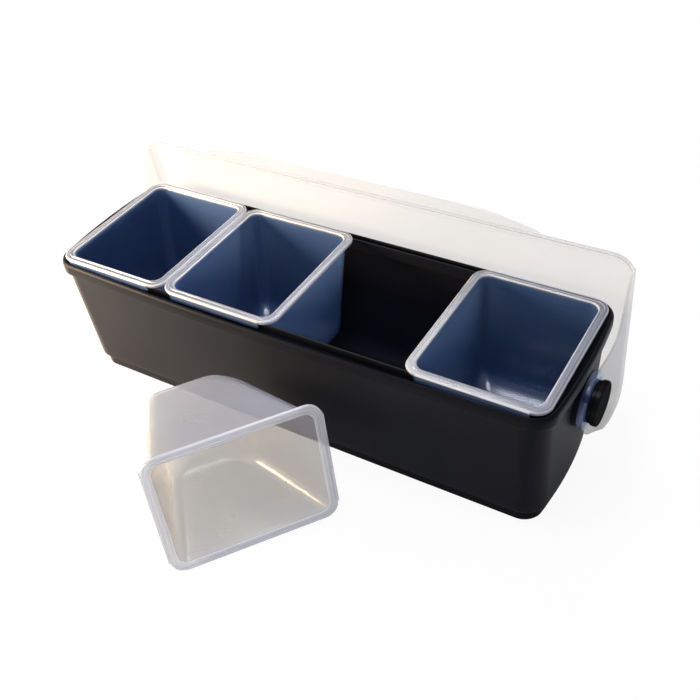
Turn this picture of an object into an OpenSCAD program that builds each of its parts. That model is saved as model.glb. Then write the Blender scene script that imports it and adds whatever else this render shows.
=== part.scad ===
// Condiment caddy: an open tray that holds lift-out food inserts, with one long
// lid that flips back on two side knobs. One more insert stands by itself in front.
// Origin: on the counter plane, straight below the middle of the insert openings.
// +X runs along the length, +Y points to the back, +Z points up.

/* [Tray] */
// length over the rim
tray_length = 483; // [460:1:505]
// depth over the rim at its two ends
tray_depth = 150; // [145:1:158]
// height of the rim above the counter
tray_height = 127; // [120:1:135]
// how far the front of the rim bows out at its middle
front_bow = 5.5; // [0:0.5:8]
// how far the back of the rim bows out at its middle
back_bow = 0.5; // [0:0.1:0.8]
// how far each end bows out at its middle
end_bow = 5; // [0:0.5:6]
// thickness of the tray walls
tray_wall = 3; // [2:0.25:3.5]
// height of the band under the rim
rim_height = 11; // [8:0.5:14]
// corner radius of the rim in plan
rim_corner = 17; // [10:1:22]
// height of the plinth that the tray stands on
plinth_height = 13; // [8:0.5:14]
// step from the tray body in to the plinth
plinth_step = 4; // [1:0.5:6]
// height of the crease where the back wall turns in
crease_height = 66; // [60:1:80]
// top face of the tray floor above the counter
floor_height = 18; // [16:0.5:19]

/* [Rim channel] */
// thickness of the outer lip of the rim
lip_wall = 3; // [2:0.25:4]
// thickness of the ridge that the inserts sit on
ridge_wall = 1.6; // [1.2:0.1:2.5]
// thickness of the rim band under the channel
channel_floor = 3.5; // [2.5:0.25:4]
// width of the channel at the front and the back
channel_side = 4.05; // [4:0.05:5]
// width of the channel at the two ends
channel_end = 3.1; // [3.1:0.1:5]

/* [Inserts] */
// from an opening to the middle between two inserts
opening_side = 7.8; // [7:0.1:9]
// room between the foot of an insert and the tray floor
insert_room = 6; // [3:0.5:10]
// wall thickness of an insert
insert_wall = 2; // [1.5:0.1:2.2]
// thickness of the flange
flange_height = 3; // [2:0.25:3]
// corner radius of the opening
opening_corner = 9; // [5:0.5:12]
// draft of the side walls, in degrees
side_draft = 3.4; // [2:0.1:6]
// where the floor begins, measured from the middle to the back
floor_front = 0; // [-4:1:6]
// where the floor ends, measured from the middle to the back
floor_back = 33; // [28:1:34]
// from the side of the flange in to each end of a tab
tab_inset = 12.7; // [12.7:0.1:20]
// how far a tab hangs below the flange top
tab_drop = 7; // [5:0.25:7]

/* [Lid] */
// between the rim and the inside of the lid at each end
lid_side_gap = 1.4; // [1:0.1:3]
// wall thickness of the lid
lid_wall = 2.6; // [2:0.1:3]
// from the pivot forward to the front edge of the closed lid
lid_front = 73.5; // [70:0.5:78]
// from the counter up to the rear edge of the open lid
lid_foot_gap = 7; // [4:0.5:12]
// between the rim and the panel as the panel swings past it
lid_swing_gap = 5.4; // [4:0.1:8]
// width of the sloped border round the panel
border_width = 8; // [6:0.5:11]
// how far the border slopes down from the panel
border_drop = 5.5; // [3:0.5:7]
// corner radius of the lid in plan
lid_corner = 19; // [12:1:24]
// how far the finger lip stands out of the front edge
grip_reach = 14; // [8:1:16]
// from each end of the lid in to the root of the finger lip
grip_inset = 67.5; // [50:0.5:100]
// from the root of the finger lip in to its tip
grip_taper = 66; // [40:1:80]
// from the pivot forward to the front edge of each ear
ear_front = 9; // [6:1:16]
// angle between the closed and the open lid, in degrees
open_angle = 83; // [80:0.5:84]

/* [Hinge] */
// between the rim band and the hub under it
hub_drop = 3; // [2:0.5:6]
// step from the hub in to the boss on each end of the tray
boss_step = 1; // [0:0.5:3]
// radius of the hub on each side of the lid
hub_radius = 24; // [22:0.5:26]
// radius of the knob
knob_radius = 18.5; // [14:0.5:20]
// thickness of the knob
knob_height = 8; // [6:0.25:9]
// diameter of the threaded stud in the knob
stud_bore = 6; // [5:0.5:8]
// outside diameter of the brass nut in the boss
nut_diameter = 11; // [10:0.5:13]

/* [Loose insert] */
// turn of the loose insert about the upright, in degrees
loose_turn = 53; // [40:1:60]
// place of its mouth along the length
loose_x = 40; // [20:1:60]
// room between the tray and the loose insert
loose_room = 26; // [5:0.5:40]

/* [Clearances] */
// between a seated insert and the tray
seat_gap = 0.3; // [0.2:0.05:0.5]
// between two faces that turn against each other
turn_gap = 0.3; // [0.2:0.05:0.5]
// radial, between the stud and the holes it turns in
bore_gap = 0.05; // [0.02:0.01:0.08]
// between the flanges of two inserts side by side
flange_gap = 0.6; // [0.4:0.1:1]
// between an insert and the counter
counter_gap = 0.1; // [0.05:0.05:0.3]

/* [Hidden] */
$fn = 64;
CORNER_STEPS = 8;
SIDE_STEPS = 6;
LONG_STEPS = 16;
SKIN = 0.02;
OVERCUT = 1;
BELOW = 50;

HALF = 0.5;
LOW_BOW = 0.1;
MID_BOW = 0.6;
flange_top = tray_height + flange_height;
rim_x = tray_length * HALF - end_bow;
rim_y = tray_depth * HALF;
rim_base = tray_height - rim_height;
rim_bevel = 0.8;
channel_depth = rim_height - channel_floor;

// the opening of the tray, inside the ridge, and the bays along it
bay_count = 4;
ridge_clear = 0.6;
well_x = rim_x - lip_wall - channel_end - ridge_wall;
well_y = rim_y - lip_wall - channel_side - ridge_wall;
bay_pitch = (well_x + opening_side - insert_wall - ridge_clear) * 2 / bay_count;
opening_width = bay_pitch - 2 * opening_side;
opening_depth = 2 * (well_y - insert_wall - ridge_clear);
opening_x = opening_width * HALF;
opening_y = opening_depth * HALF;
well_corner = opening_corner + insert_wall;

// bays: the third one is left empty
bay_1 = -1.5 * bay_pitch;
bay_2 = -0.5 * bay_pitch;
bay_4 = 1.5 * bay_pitch;

// half sizes of the tray body at its levels, outside
body_top_in = 4.5;
body_mid_in = 5;
body_low_in = 5.5;
body_top_x = rim_x - body_top_in;
body_mid_x = rim_x - body_mid_in;
body_low_x = rim_x - body_low_in;
body_top_y = rim_y - 1;
body_front_mid = body_top_y - 3;
body_back_mid = body_top_y - 6;
body_front_low = body_top_y - 6;
body_back_low = floor_back + 14;
body_corner = rim_corner + 1;
foot_width = 4;
rib_wall = 4;
floor_wall = 3;

// insert profile
insert_depth = flange_top - floor_height - insert_room - insert_wall;
tab_wall = 1.8;
tab_reach = 1.2;
tab_clear = 0.45;
flange_x = (bay_pitch - flange_gap) * HALF;
flange_y = rim_y - lip_wall - tab_clear - tab_reach;
flange_corner = opening_corner + 4;
flange_bevel = 0.8;
tab_length = 2 * (flange_x - tab_inset);
front_bend = insert_depth * 0.72;
back_bend = insert_depth * 0.87;
front_slope = 0.457;
back_slope = 0.171;
side_tuck = 9;
FLOOR_STEPS = [0, 0.22, 0.42, 0.54, 0.68, 0.8, 0.91, 1];
groove_inset = 3.4;
groove_width = 1;
groove_depth = 0.6;

// hinge stack along the length, from the tray outwards
boss_radius = hub_radius - boss_step;
pivot_height = rim_base - hub_drop - hub_radius;
lid_half = tray_length * HALF + lid_side_gap + lid_wall;
ear_step = 0.25;
ear_wall = lid_wall - 2 * ear_step;
ear_inner = lid_half - ear_wall - ear_step;
hub_thickness = 4.8;
hub_outer = lid_half + 0.2;
hub_inner = hub_outer - hub_thickness;
boss_face = hub_inner - turn_gap;
boss_bite = 0.6;
boss_root = body_mid_x + end_bow - tray_wall + boss_bite;
knob_inner = hub_outer + turn_gap;
knob_outer = knob_inner + knob_height;
stud_radius = stud_bore * HALF;
turn_radius = stud_radius + bore_gap;
nut_radius = nut_diameter * HALF;
nut_back = 0.5;
nut_length = boss_face - boss_root - nut_back;
stud_end = boss_face - nut_length + 1;
stud_head = knob_outer - 2.5;
knob_neck = 3;
knob_groove = 1.2;
knob_bevel = 0.8;

// the open panel passes behind the rim, and its rear edge stays over the counter
rim_swing = norm([tray_height - pivot_height, rim_y + back_bow]);
lid_rise = rim_swing + lid_swing_gap;
border_low = lid_rise - border_drop;
border_lip = 2;
lid_back = (pivot_height + border_low * cos(open_angle) - lid_foot_gap) / sin(open_angle);
grip_root = lid_half - grip_inset;
grip_tip = grip_root - grip_taper;

// side view of an ear: steps back from the front edge and down from the border,
// then turns round the hub as shares of its radius, then steps to the rear edge
EAR_FRONT = [[9, 0], [9, 5], [16, 9], [34, 15]];
EAR_ARM = [[13, 21], [5, 27], [2, 36], [4, 50]];
EAR_HUB = [[-0.8, 0.6], [-0.5, 0], [0.3, -0.92], [1.35, -0.4], [2.2, 0.46], [3.5, 1.7]];
EAR_REAR = [[1, 28.5], [0, 20.5], [0, 8], [9, 0]];

// the loose insert lies on one side, on its flange and the first level of its
// body that meets the counter as it leans back
loose_tilt = min([
    for (s = FLOOR_STEPS)
        let (d = front_bend + (insert_depth - front_bend) * s)
            atan((flange_x - side_half(d, insert_wall))
                / (d * (insert_depth + insert_wall) / insert_depth - flange_height))
]);
loose_reach = max([
    for (d = [0 : insert_depth])
        cos(loose_turn) * d + sin(loose_turn) * (insert_wall - front_at(d))
]);
loose_y = -rim_y - front_bow - loose_room - loose_reach;

// ---------- plan outlines ----------

function arc_pts(c, r, start) = [
    for (i = [0 : CORNER_STEPS - 1])
        c + r * [cos(start + 90 * i / CORNER_STEPS), sin(start + 90 * i / CORNER_STEPS)]
];

function line_pts(a, b, steps) = [for (i = [0 : steps - 1]) a + (b - a) * i / steps];

// a rounded rectangle, run counter-clockwise from the front right corner
function round_pts(hx, hy, r) = concat(
    arc_pts([hx - r, r - hy], r, -90),
    line_pts([hx, r - hy], [hx, hy - r], SIDE_STEPS),
    arc_pts([hx - r, hy - r], r, 0),
    line_pts([hx - r, hy], [r - hx, hy], LONG_STEPS),
    arc_pts([r - hx, hy - r], r, 90),
    line_pts([-hx, hy - r], [-hx, r - hy], SIDE_STEPS),
    arc_pts([r - hx, r - hy], r, 180),
    line_pts([r - hx, -hy], [hx - r, -hy], LONG_STEPS)
);

// one point pushed out by the bows of the ends, the front and the back
function bowed(p, hx, hy, ends, front, back) = [
    p.x + ends * (p.x / hx) * (1 - pow(p.y / hy, 2)),
    p.y + (p.y < 0 ? -front : back) * (abs(p.y) / hy) * (1 - pow(p.x / hx, 2))
];

module bowed_plan(hx, front, back, r, ends, bow_front, bow_back) {
    hy = (back - front) * HALF;
    translate([0, (front + back) * HALF])
        polygon([for (p = round_pts(hx, hy, r)) bowed(p, hx, hy, ends, bow_front, bow_back)]);
}

module round_plan(hx, hy, r) {
    polygon(round_pts(hx, hy, r));
}

// ---------- tray ----------

module body_slice(z, hx, front, back, inset, bow_share) {
    translate([0, 0, z])
        linear_extrude(SKIN)
            bowed_plan(hx - inset, front + inset, back - inset, body_corner - inset,
                end_bow, front_bow * bow_share, back_bow * bow_share);
}

// the tray body between two heights, drawn in by an inset
module body_form(inset, low, high) {
    hull() {
        body_slice(low, body_low_x, -body_front_low, body_back_low, inset, LOW_BOW);
        body_slice(crease_height, body_mid_x, -body_front_mid, body_back_mid, inset, MID_BOW);
        body_slice(high, body_top_x, -body_top_y, body_top_y, inset, 1);
    }
}

module rim_ring(out_inset, low, high) {
    translate([0, 0, low])
        linear_extrude(high - low)
            bowed_plan(rim_x - out_inset, -rim_y + out_inset, rim_y - out_inset,
                rim_corner - out_inset, end_bow, front_bow, back_bow);
}

module well_cut(grow, low, high) {
    translate([0, 0, low])
        linear_extrude(high - low)
            round_plan(well_x + grow, well_y + grow, well_corner + grow);
}

module rim() {
    ridge_top = tray_height - seat_gap;
    difference() {
        union() {
            rim_ring(0, rim_base, tray_height - rim_bevel);
            rim_ring(rim_bevel, rim_base, tray_height);
        }
        difference() {
            rim_ring(lip_wall, tray_height - channel_depth, tray_height + OVERCUT);
            well_cut(ridge_wall, rim_base, ridge_top);
        }
        well_cut(0, rim_base - OVERCUT, tray_height + OVERCUT);
    }
}

module plinth() {
    difference() {
        linear_extrude(floor_height - floor_wall)
            bowed_plan(body_low_x - plinth_step, plinth_step - body_front_low,
                body_back_low - plinth_step, body_corner - plinth_step,
                end_bow, front_bow * LOW_BOW, back_bow * LOW_BOW);
        translate([0, 0, -OVERCUT])
            linear_extrude(floor_height)
                bowed_plan(body_low_x - plinth_step - foot_width,
                    plinth_step + foot_width - body_front_low,
                    body_back_low - plinth_step - foot_width,
                    body_corner - plinth_step - foot_width,
                    end_bow, front_bow * LOW_BOW, back_bow * LOW_BOW);
    }
}

// two stiffening ribs under the floor, flush with the foot of the plinth
module floor_ribs() {
    long_half = body_low_x + end_bow - plinth_step - OVERCUT;
    front = plinth_step + OVERCUT - body_front_low;
    back = body_back_low - plinth_step - OVERCUT;
    translate([-long_half, -rib_wall * HALF, 0])
        cube([2 * long_half, rib_wall, floor_height - SKIN]);
    translate([-rib_wall * HALF, front, 0])
        cube([rib_wall, back - front, floor_height - SKIN]);
}

// a round bar along the length, from one place to another
module bar_x(r, from, to) {
    translate([from, 0, pivot_height])
        rotate([0, 90, 0])
            cylinder(h = to - from, r = r);
}

module tray() {
    color("#1c1c1b")
    difference() {
        union() {
            difference() {
                union() {
                    body_form(0, plinth_height, rim_base + OVERCUT);
                    for (side = [0, 1])
                        mirror([side, 0, 0])
                            bar_x(boss_radius, boss_root, boss_face);
                }
                intersection() {
                    body_form(tray_wall, plinth_height, rim_base + OVERCUT);
                    translate([-tray_length, -tray_depth, floor_height])
                        cube([2 * tray_length, 2 * tray_depth, tray_height]);
                }
                translate([0, 0, BELOW * -1])
                    linear_extrude(BELOW + floor_height - floor_wall)
                        bowed_plan(body_low_x - plinth_step - foot_width,
                            plinth_step + foot_width - body_front_low,
                            body_back_low - plinth_step - foot_width,
                            body_corner - plinth_step - foot_width,
                            end_bow, front_bow * LOW_BOW, back_bow * LOW_BOW);
            }
            rim();
            plinth();
            floor_ribs();
        }
        for (side = [0, 1])
            mirror([side, 0, 0])
                bar_x(nut_radius, boss_face - nut_length - SKIN, boss_face + OVERCUT);
    }
}

// ---------- inserts ----------

// distances from the middle of an insert at a depth below its flange top
function front_at(d) = front_slope * d - opening_y
    + bend_share(d, front_bend) * (floor_front + opening_y - front_slope * insert_depth);

function back_at(d) = opening_y - back_slope * d
    - bend_share(d, back_bend) * (opening_y - back_slope * insert_depth - floor_back);

function side_half(d, grow) = grow + opening_x - tan(side_draft) * d
    - bend_share(d, back_bend) * side_tuck;

// zero above a bend, rising to one at the floor
function bend_share(d, bend) = pow(max(0, d - bend) / (insert_depth - bend), 2);

// the inside of an insert, or its outside when grown by the wall
module insert_form(grow) {
    stretch = (insert_depth + grow) / insert_depth;
    bend = insert_depth - front_bend;
    hull() {
        for (d = [0, for (s = FLOOR_STEPS) front_bend + bend * s]) {
            front = front_at(d) - grow;
            back = back_at(d) + grow;
            translate([0, (front + back) * HALF, -d * stretch])
                linear_extrude(SKIN)
                    round_plan(side_half(d, grow), (back - front) * HALF, opening_corner + grow);
        }
    }
}

module tab() {
    translate([-tab_length * HALF, flange_y - OVERCUT, -flange_height])
        cube([tab_length, OVERCUT + tab_reach, flange_height - groove_depth]);
    translate([-tab_length * HALF, flange_y + tab_reach - tab_wall, -tab_drop])
        cube([tab_length, tab_wall, tab_drop - groove_depth]);
}

// an insert with the middle of its opening at the origin and its flange top at zero
module insert_shell() {
    difference() {
        union() {
            insert_form(insert_wall);
            translate([0, 0, -flange_height])
                linear_extrude(flange_height - flange_bevel)
                    round_plan(flange_x, flange_y, flange_corner);
            translate([0, 0, -flange_height])
                linear_extrude(flange_height)
                    round_plan(flange_x - flange_bevel, flange_y - flange_bevel,
                        flange_corner - flange_bevel);
            tab();
            mirror([0, 1, 0])
                tab();
        }
        insert_form(0);
        translate([0, 0, -SKIN])
            linear_extrude(OVERCUT)
                round_plan(opening_x, opening_y, opening_corner);
        translate([0, 0, -groove_depth])
            linear_extrude(OVERCUT)
                difference() {
                    round_plan(flange_x - groove_inset, flange_y - groove_inset,
                        flange_corner - groove_inset);
                    round_plan(flange_x - groove_inset - groove_width,
                        flange_y - groove_inset - groove_width,
                        flange_corner - groove_inset - groove_width);
                }
    }
}

module seated_insert(x) {
    color("#8fa3c9")
    translate([x, 0, flange_top])
        insert_shell();
}

module insert_1() {
    seated_insert(bay_1);
}

module insert_2() {
    seated_insert(bay_2);
}

module insert_4() {
    seated_insert(bay_4);
}

module loose_insert() {
    color("#c9c8c2")
    translate([loose_x, loose_y, counter_gap])
        rotate([0, 0, loose_turn])
            rotate([-loose_tilt, 0, 0])
                translate([0, -flange_height, flange_x])
                    rotate([0, -90, 90])
                        insert_shell();
}

// ---------- lid, drawn closed about its pivot and then turned open ----------

module lid_plan(inset) {
    hy = (lid_front + lid_back) * HALF;
    translate([0, (lid_back - lid_front) * HALF])
        round_plan(lid_half - inset, hy - inset, lid_corner - inset);
}

module grip_plan() {
    root = border_width - lid_front;
    polygon([
        [-grip_root, root],
        [-grip_root, -lid_front],
        [-grip_tip, -lid_front - grip_reach],
        [grip_tip, -lid_front - grip_reach],
        [grip_root, -lid_front],
        [grip_root, root]
    ]);
}

// the panel with its sloped border, as a solid cap
module cap_form(inset, low, top) {
    hull() {
        translate([0, 0, low])
            linear_extrude(SKIN)
                lid_plan(inset);
        translate([0, 0, low + border_lip])
            linear_extrude(SKIN)
                lid_plan(inset);
        translate([0, 0, top - SKIN])
            linear_extrude(SKIN)
                lid_plan(border_width + inset);
    }
}

// side view of an ear: a shallow wall in front, then the hub and its web to the rear
module ear_profile() {
    top = border_low + border_lip - ear_step;
    rear = lid_back - ear_step;
    polygon(concat(
        [for (p = EAR_FRONT) [p.x - lid_front, top - p.y]],
        [for (p = EAR_ARM) [-ear_front - p.x, top - p.y]],
        [for (p = EAR_HUB) p * hub_radius],
        [for (p = EAR_REAR) [rear - p.x, top - p.y]]
    ));
}

module ear() {
    translate([ear_inner, 0, 0])
        rotate([90, 0, 90])
            linear_extrude(ear_wall)
                ear_profile();
    translate([hub_inner, 0, 0])
        rotate([0, 90, 0])
            cylinder(h = hub_outer - hub_inner, r = hub_radius);
}

module lid_closed() {
    difference() {
        union() {
            difference() {
                cap_form(0, border_low, lid_rise + lid_wall);
                cap_form(lid_wall, border_low - OVERCUT, lid_rise);
            }
            translate([0, 0, border_low + ear_step])
                linear_extrude(lid_wall)
                    difference() {
                        grip_plan();
                        lid_plan(lid_wall - ear_step);
                    }
            for (side = [0, 1])
                mirror([side, 0, 0])
                    ear();
        }
        for (side = [0, 1])
            mirror([side, 0, 0])
                translate([hub_inner - OVERCUT, 0, 0])
                    rotate([0, 90, 0])
                        cylinder(h = hub_outer - hub_inner + 2 * OVERCUT, r = turn_radius);
    }
}

module lid() {
    color("#e9e9e6")
    translate([0, 0, pivot_height])
        rotate([-open_angle, 0, 0])
            lid_closed();
}

// ---------- hinge hardware, drawn for the right end ----------

module knob() {
    difference() {
        union() {
            bar_x(knob_radius - knob_groove, knob_inner, knob_outer - knob_bevel);
            bar_x(knob_radius, knob_inner + knob_neck, knob_outer - knob_bevel);
            bar_x(knob_radius - knob_bevel, knob_inner + knob_neck, knob_outer);
        }
        bar_x(stud_radius, knob_inner - OVERCUT, stud_head);
    }
}

module stud() {
    bar_x(stud_radius, stud_end, stud_head);
}

module boss_nut() {
    difference() {
        bar_x(nut_radius, boss_face - nut_length, boss_face - SKIN);
        bar_x(turn_radius, boss_face - nut_length - OVERCUT, boss_face + OVERCUT);
    }
}

module knob_left() {
    color("#161616")
    mirror([1, 0, 0])
        knob();
}

module knob_right() {
    color("#161616")
    knob();
}

module stud_left() {
    color("#b8bbc0")
    mirror([1, 0, 0])
        stud();
}

module stud_right() {
    color("#b8bbc0")
    stud();
}

module boss_nut_left() {
    color("#b08d3c")
    mirror([1, 0, 0])
        boss_nut();
}

module boss_nut_right() {
    color("#b08d3c")
    boss_nut();
}

tray();
lid();
insert_1();
insert_2();
insert_4();
loose_insert();
knob_left();
knob_right();
stud_left();
stud_right();
boss_nut_left();
boss_nut_right();
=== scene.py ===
"""Looks of a condiment caddy: tray, lift-out inserts, flip-back lid and side knobs."""

import math

import bmesh
import bpy
from mathutils import Matrix, Vector


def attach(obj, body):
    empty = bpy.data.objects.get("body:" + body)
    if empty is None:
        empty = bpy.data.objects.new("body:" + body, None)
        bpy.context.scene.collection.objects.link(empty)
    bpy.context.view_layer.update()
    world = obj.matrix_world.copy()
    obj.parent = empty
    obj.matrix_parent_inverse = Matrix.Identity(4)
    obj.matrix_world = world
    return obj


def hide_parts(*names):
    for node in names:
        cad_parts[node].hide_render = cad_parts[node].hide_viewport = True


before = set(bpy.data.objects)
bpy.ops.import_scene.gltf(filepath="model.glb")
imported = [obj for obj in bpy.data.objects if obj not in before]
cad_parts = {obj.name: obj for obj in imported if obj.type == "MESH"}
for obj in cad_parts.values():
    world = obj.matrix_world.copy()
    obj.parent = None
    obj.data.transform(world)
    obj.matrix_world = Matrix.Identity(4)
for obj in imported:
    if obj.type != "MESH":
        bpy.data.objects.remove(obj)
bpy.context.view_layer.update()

bl_info = {
    "name": "Condiment caddy",
    "version": (1, 0, 0),
    "blender": (4, 5, 0),
    "location": "3D View > Sidebar > Caddy",
    "description": "Builds a condiment caddy with lift-out inserts round its CAD frame",
    "category": "Object",
}

MM = 0.001

# ---------- plan outlines, in millimetres ----------

LEAST_RADIUS = 0.05
CORNER_SHARE = 0.45  # of the shorter side, that rounding a corner may take up


def plan_ring(hx, front, back, radius, corner, side, long):
    """A rounded rectangle, run counter-clockwise from its front right corner."""
    radius = max(radius, LEAST_RADIUS)
    points = []

    def arc(cx, cy, start):
        for i in range(corner):
            a = math.radians(start + 90 * i / corner)
            points.append((cx + radius * math.cos(a), cy + radius * math.sin(a)))

    def line(a, b, steps):
        for i in range(steps):
            t = i / steps
            points.append((a[0] + (b[0] - a[0]) * t, a[1] + (b[1] - a[1]) * t))

    arc(hx - radius, front + radius, -90)
    line((hx, front + radius), (hx, back - radius), side)
    arc(hx - radius, back - radius, 0)
    line((hx - radius, back), (radius - hx, back), long)
    arc(radius - hx, back - radius, 90)
    line((-hx, back - radius), (-hx, front + radius), side)
    arc(radius - hx, front + radius, 180)
    line((radius - hx, front), (hx - radius, front), long)
    return points


def bow_out(points, hx, front, back, ends, bow_front, bow_back):
    """The ring with its ends, front and back bowed out at their middles."""
    hy, mid = (back - front) / 2, (back + front) / 2
    made = []
    for x, y in points:
        v = y - mid
        push = -bow_front if v < 0 else bow_back
        made.append(
            (
                x + ends * (x / hx) * (1 - (v / hy) ** 2),
                y + push * (abs(v) / hy) * (1 - (x / hx) ** 2),
            )
        )
    return made


def soften(points, radius, steps):
    """A polygon with each corner rounded."""
    made = []
    count = len(points)
    for i in range(count):
        here = Vector(points[i])
        before = Vector(points[i - 1]) - here
        after = Vector(points[(i + 1) % count]) - here
        reach = min(radius, before.length * CORNER_SHARE, after.length * CORNER_SHARE)
        a = here + before.normalized() * reach
        b = here + after.normalized() * reach
        for k in range(steps + 1):
            t = k / steps
            p = a * (1 - t) ** 2 + here * 2 * t * (1 - t) + b * t**2
            made.append((p.x, p.y))
    return made


# ---------- meshes ----------

FOLD_ANGLE = math.radians(38)  # folds sharper than this keep a crisp edge
WELD = 0.001 * MM
FACE_WEIGHT = 80  # per cent of a corner's shading that its larger face sets
FACET = 0.3  # of a slab's edge, taken by the first of the two facets that soften it
TURN_STEPS, HUB_STEPS = 96, 72


def loft(bm, rings):
    """Skins rings of (x, y, z) points, in millimetres, and closes both ends."""
    made = [[bm.verts.new(Vector(p) * MM) for p in ring] for ring in rings]
    count = len(made[0])
    for a, b in zip(made, made[1:]):
        for i in range(count):
            j = (i + 1) % count
            bm.faces.new((a[i], a[j], b[j], b[i]))
    bm.faces.new(list(reversed(made[0])))
    bm.faces.new(made[-1])


def lathe(bm, profile, steps=TURN_STEPS):
    """Turns (along, radius) points, in millimetres, about X, into a closed skin."""
    rings = []
    for along, radius in profile:
        ring = []
        for i in range(steps if radius else 1):
            a = 2 * math.pi * i / steps
            p = Vector((along, radius * math.cos(a), radius * math.sin(a)))
            ring.append(bm.verts.new(p * MM))
        rings.append(ring)
    pairs = list(zip(rings, rings[1:]))
    if len(rings[0]) > 1:
        pairs.append((rings[-1], rings[0]))
    for a, b in pairs:
        for i in range(steps):
            j = (i + 1) % steps
            if len(a) == 1:
                corners = (a[0], b[j], b[i])
            elif len(b) == 1:
                corners = (a[i], a[j], b[0])
            else:
                corners = (a[i], a[j], b[j], b[i])
            bm.faces.new(corners)


def slab(bm, outline, low, high, edge, axis="z"):
    """A plate with softened edges, cut to an outline, between two levels."""
    count = len(outline)
    facet = edge * FACET
    rings = []
    for inset, level in (
        (edge, low),
        (facet, low + facet),
        (0, low + edge),
        (0, high - edge),
        (facet, high - facet),
        (edge, high),
    ):
        ring = []
        for i in range(count):
            here = Vector(outline[i])
            along = Vector(outline[(i + 1) % count]) - Vector(outline[i - 1])
            inward = Vector((-along.y, along.x)).normalized()
            p = here + inward * inset
            ring.append((p.x, p.y, level) if axis == "z" else (level, p.x, p.y))
        rings.append(ring)
    loft(bm, rings)


def finish_mesh(bm, name):
    """Turns a bmesh into a mesh with smooth shading and crisp folds."""
    bmesh.ops.recalc_face_normals(bm, faces=bm.faces)
    mesh = bpy.data.meshes.new(name)
    bm.to_mesh(mesh)
    bm.free()
    mesh.shade_smooth()
    mesh.set_sharp_from_angle(angle=FOLD_ANGLE)
    return mesh


def joined(meshes, name):
    """One closed mesh from several that overlap."""
    scene = bpy.context.scene
    objects = []
    for i, mesh in enumerate(meshes):
        o = bpy.data.objects.new(f"{name}_bit_{i}", mesh)
        scene.collection.objects.link(o)
        objects.append(o)
    base = objects[0]
    for other in objects[1:]:
        cut = base.modifiers.new("join", "BOOLEAN")
        cut.operation = "UNION"
        cut.solver = "EXACT"
        cut.object = other
    bpy.context.view_layer.update()
    graph = bpy.context.evaluated_depsgraph_get()
    mesh = bpy.data.meshes.new_from_object(base.evaluated_get(graph))
    mesh.name = name
    for o in objects:
        bpy.data.objects.remove(o)
    bm = bmesh.new()
    bm.from_mesh(mesh)
    bmesh.ops.remove_doubles(bm, verts=bm.verts, dist=WELD)
    bm.to_mesh(mesh)
    bm.free()
    mesh.shade_smooth()
    mesh.set_sharp_from_angle(angle=FOLD_ANGLE)
    return mesh


def piece(name, mesh, body, nodes, materials):
    """Puts a mesh in the scene on a body, in place of its CAD nodes."""
    o = bpy.data.objects.new(name, mesh)
    bpy.context.scene.collection.objects.link(o)
    for m in materials:
        mesh.materials.append(m)
    even = o.modifiers.new("even normals", "WEIGHTED_NORMAL")
    even.keep_sharp = True
    even.weight = FACE_WEIGHT
    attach(o, body)
    if nodes:
        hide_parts(*nodes)


# ---------- materials ----------


def linear(code):
    """A linear colour from an sRGB hex code."""
    parts = [int(code[i : i + 2], 16) / 255 for i in (1, 3, 5)]
    return tuple(
        c / 12.92 if c <= 0.04045 else ((c + 0.055) / 1.055) ** 2.4 for c in parts
    )


def add_node(tree, kind, inputs=None, **settings):
    """Adds a node, sets it, and gives each named input a value or a link."""
    node = tree.nodes.new(kind)
    for key, value in settings.items():
        setattr(node, key, value)
    for key, value in (inputs or {}).items():
        if isinstance(value, bpy.types.NodeSocket):
            tree.links.new(value, node.inputs[key])
        else:
            node.inputs[key].default_value = value
    return node


def new_material(name):
    """An empty node material."""
    material = bpy.data.materials.new(name)
    material.use_nodes = True
    material.node_tree.nodes.clear()
    return material, material.node_tree


def noise(tree, size_mm, detail):
    """Noise with spots of a size in millimetres, fixed to the piece."""
    place = add_node(tree, "ShaderNodeTexCoord")
    spots = add_node(
        tree,
        "ShaderNodeTexNoise",
        {
            "Vector": place.outputs["Object"],
            "Scale": 1 / (size_mm * MM),
            "Detail": detail,
        },
    )
    return spots.outputs["Fac"]


def spread(tree, value, low, high):
    """A value from 0 to 1 carried over to between low and high."""
    ramp = add_node(
        tree, "ShaderNodeMapRange", {"Value": value, "To Min": low, "To Max": high}
    )
    return ramp.outputs["Result"]


def slanted(tree, steep, low, high):
    """A value that grows from low to high as a face turns away from the eye."""
    facing = add_node(tree, "ShaderNodeLayerWeight", {"Blend": 0.5})
    power = add_node(
        tree,
        "ShaderNodeMath",
        {0: facing.outputs["Facing"], 1: steep},
        operation="POWER",
    )
    return spread(tree, power.outputs["Value"], low, high)


def mixed(tree, share, first, second):
    """Two shaders mixed, with the share of the second."""
    both = add_node(tree, "ShaderNodeMixShader", {"Fac": share, 1: first, 2: second})
    return both.outputs["Shader"]


WEAR_MM, WEAR_DETAIL, GRAIN_DETAIL = 60.0, 5, 3
TONE_CHANGE, GLOSS_SPREAD = 0.15, (-0.05, 0.06)
SHEEN_STEEP, MILK_STEEP, GLEAM_STEEP = 4.0, 3.0, 5.0
FLOW_MM, FLOW_DETAIL, CLOUD, GLEAM = 35.0, 1, (0.9, 1.1), (0.05, 0.8)
# a lathe's rings are too fine to show: they are drawn 0.8 mm apart, as the wave
# texture fits about three of them in this length
TURNING_MM, TURNING_DEPTH = 2.5, 0.1


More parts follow.
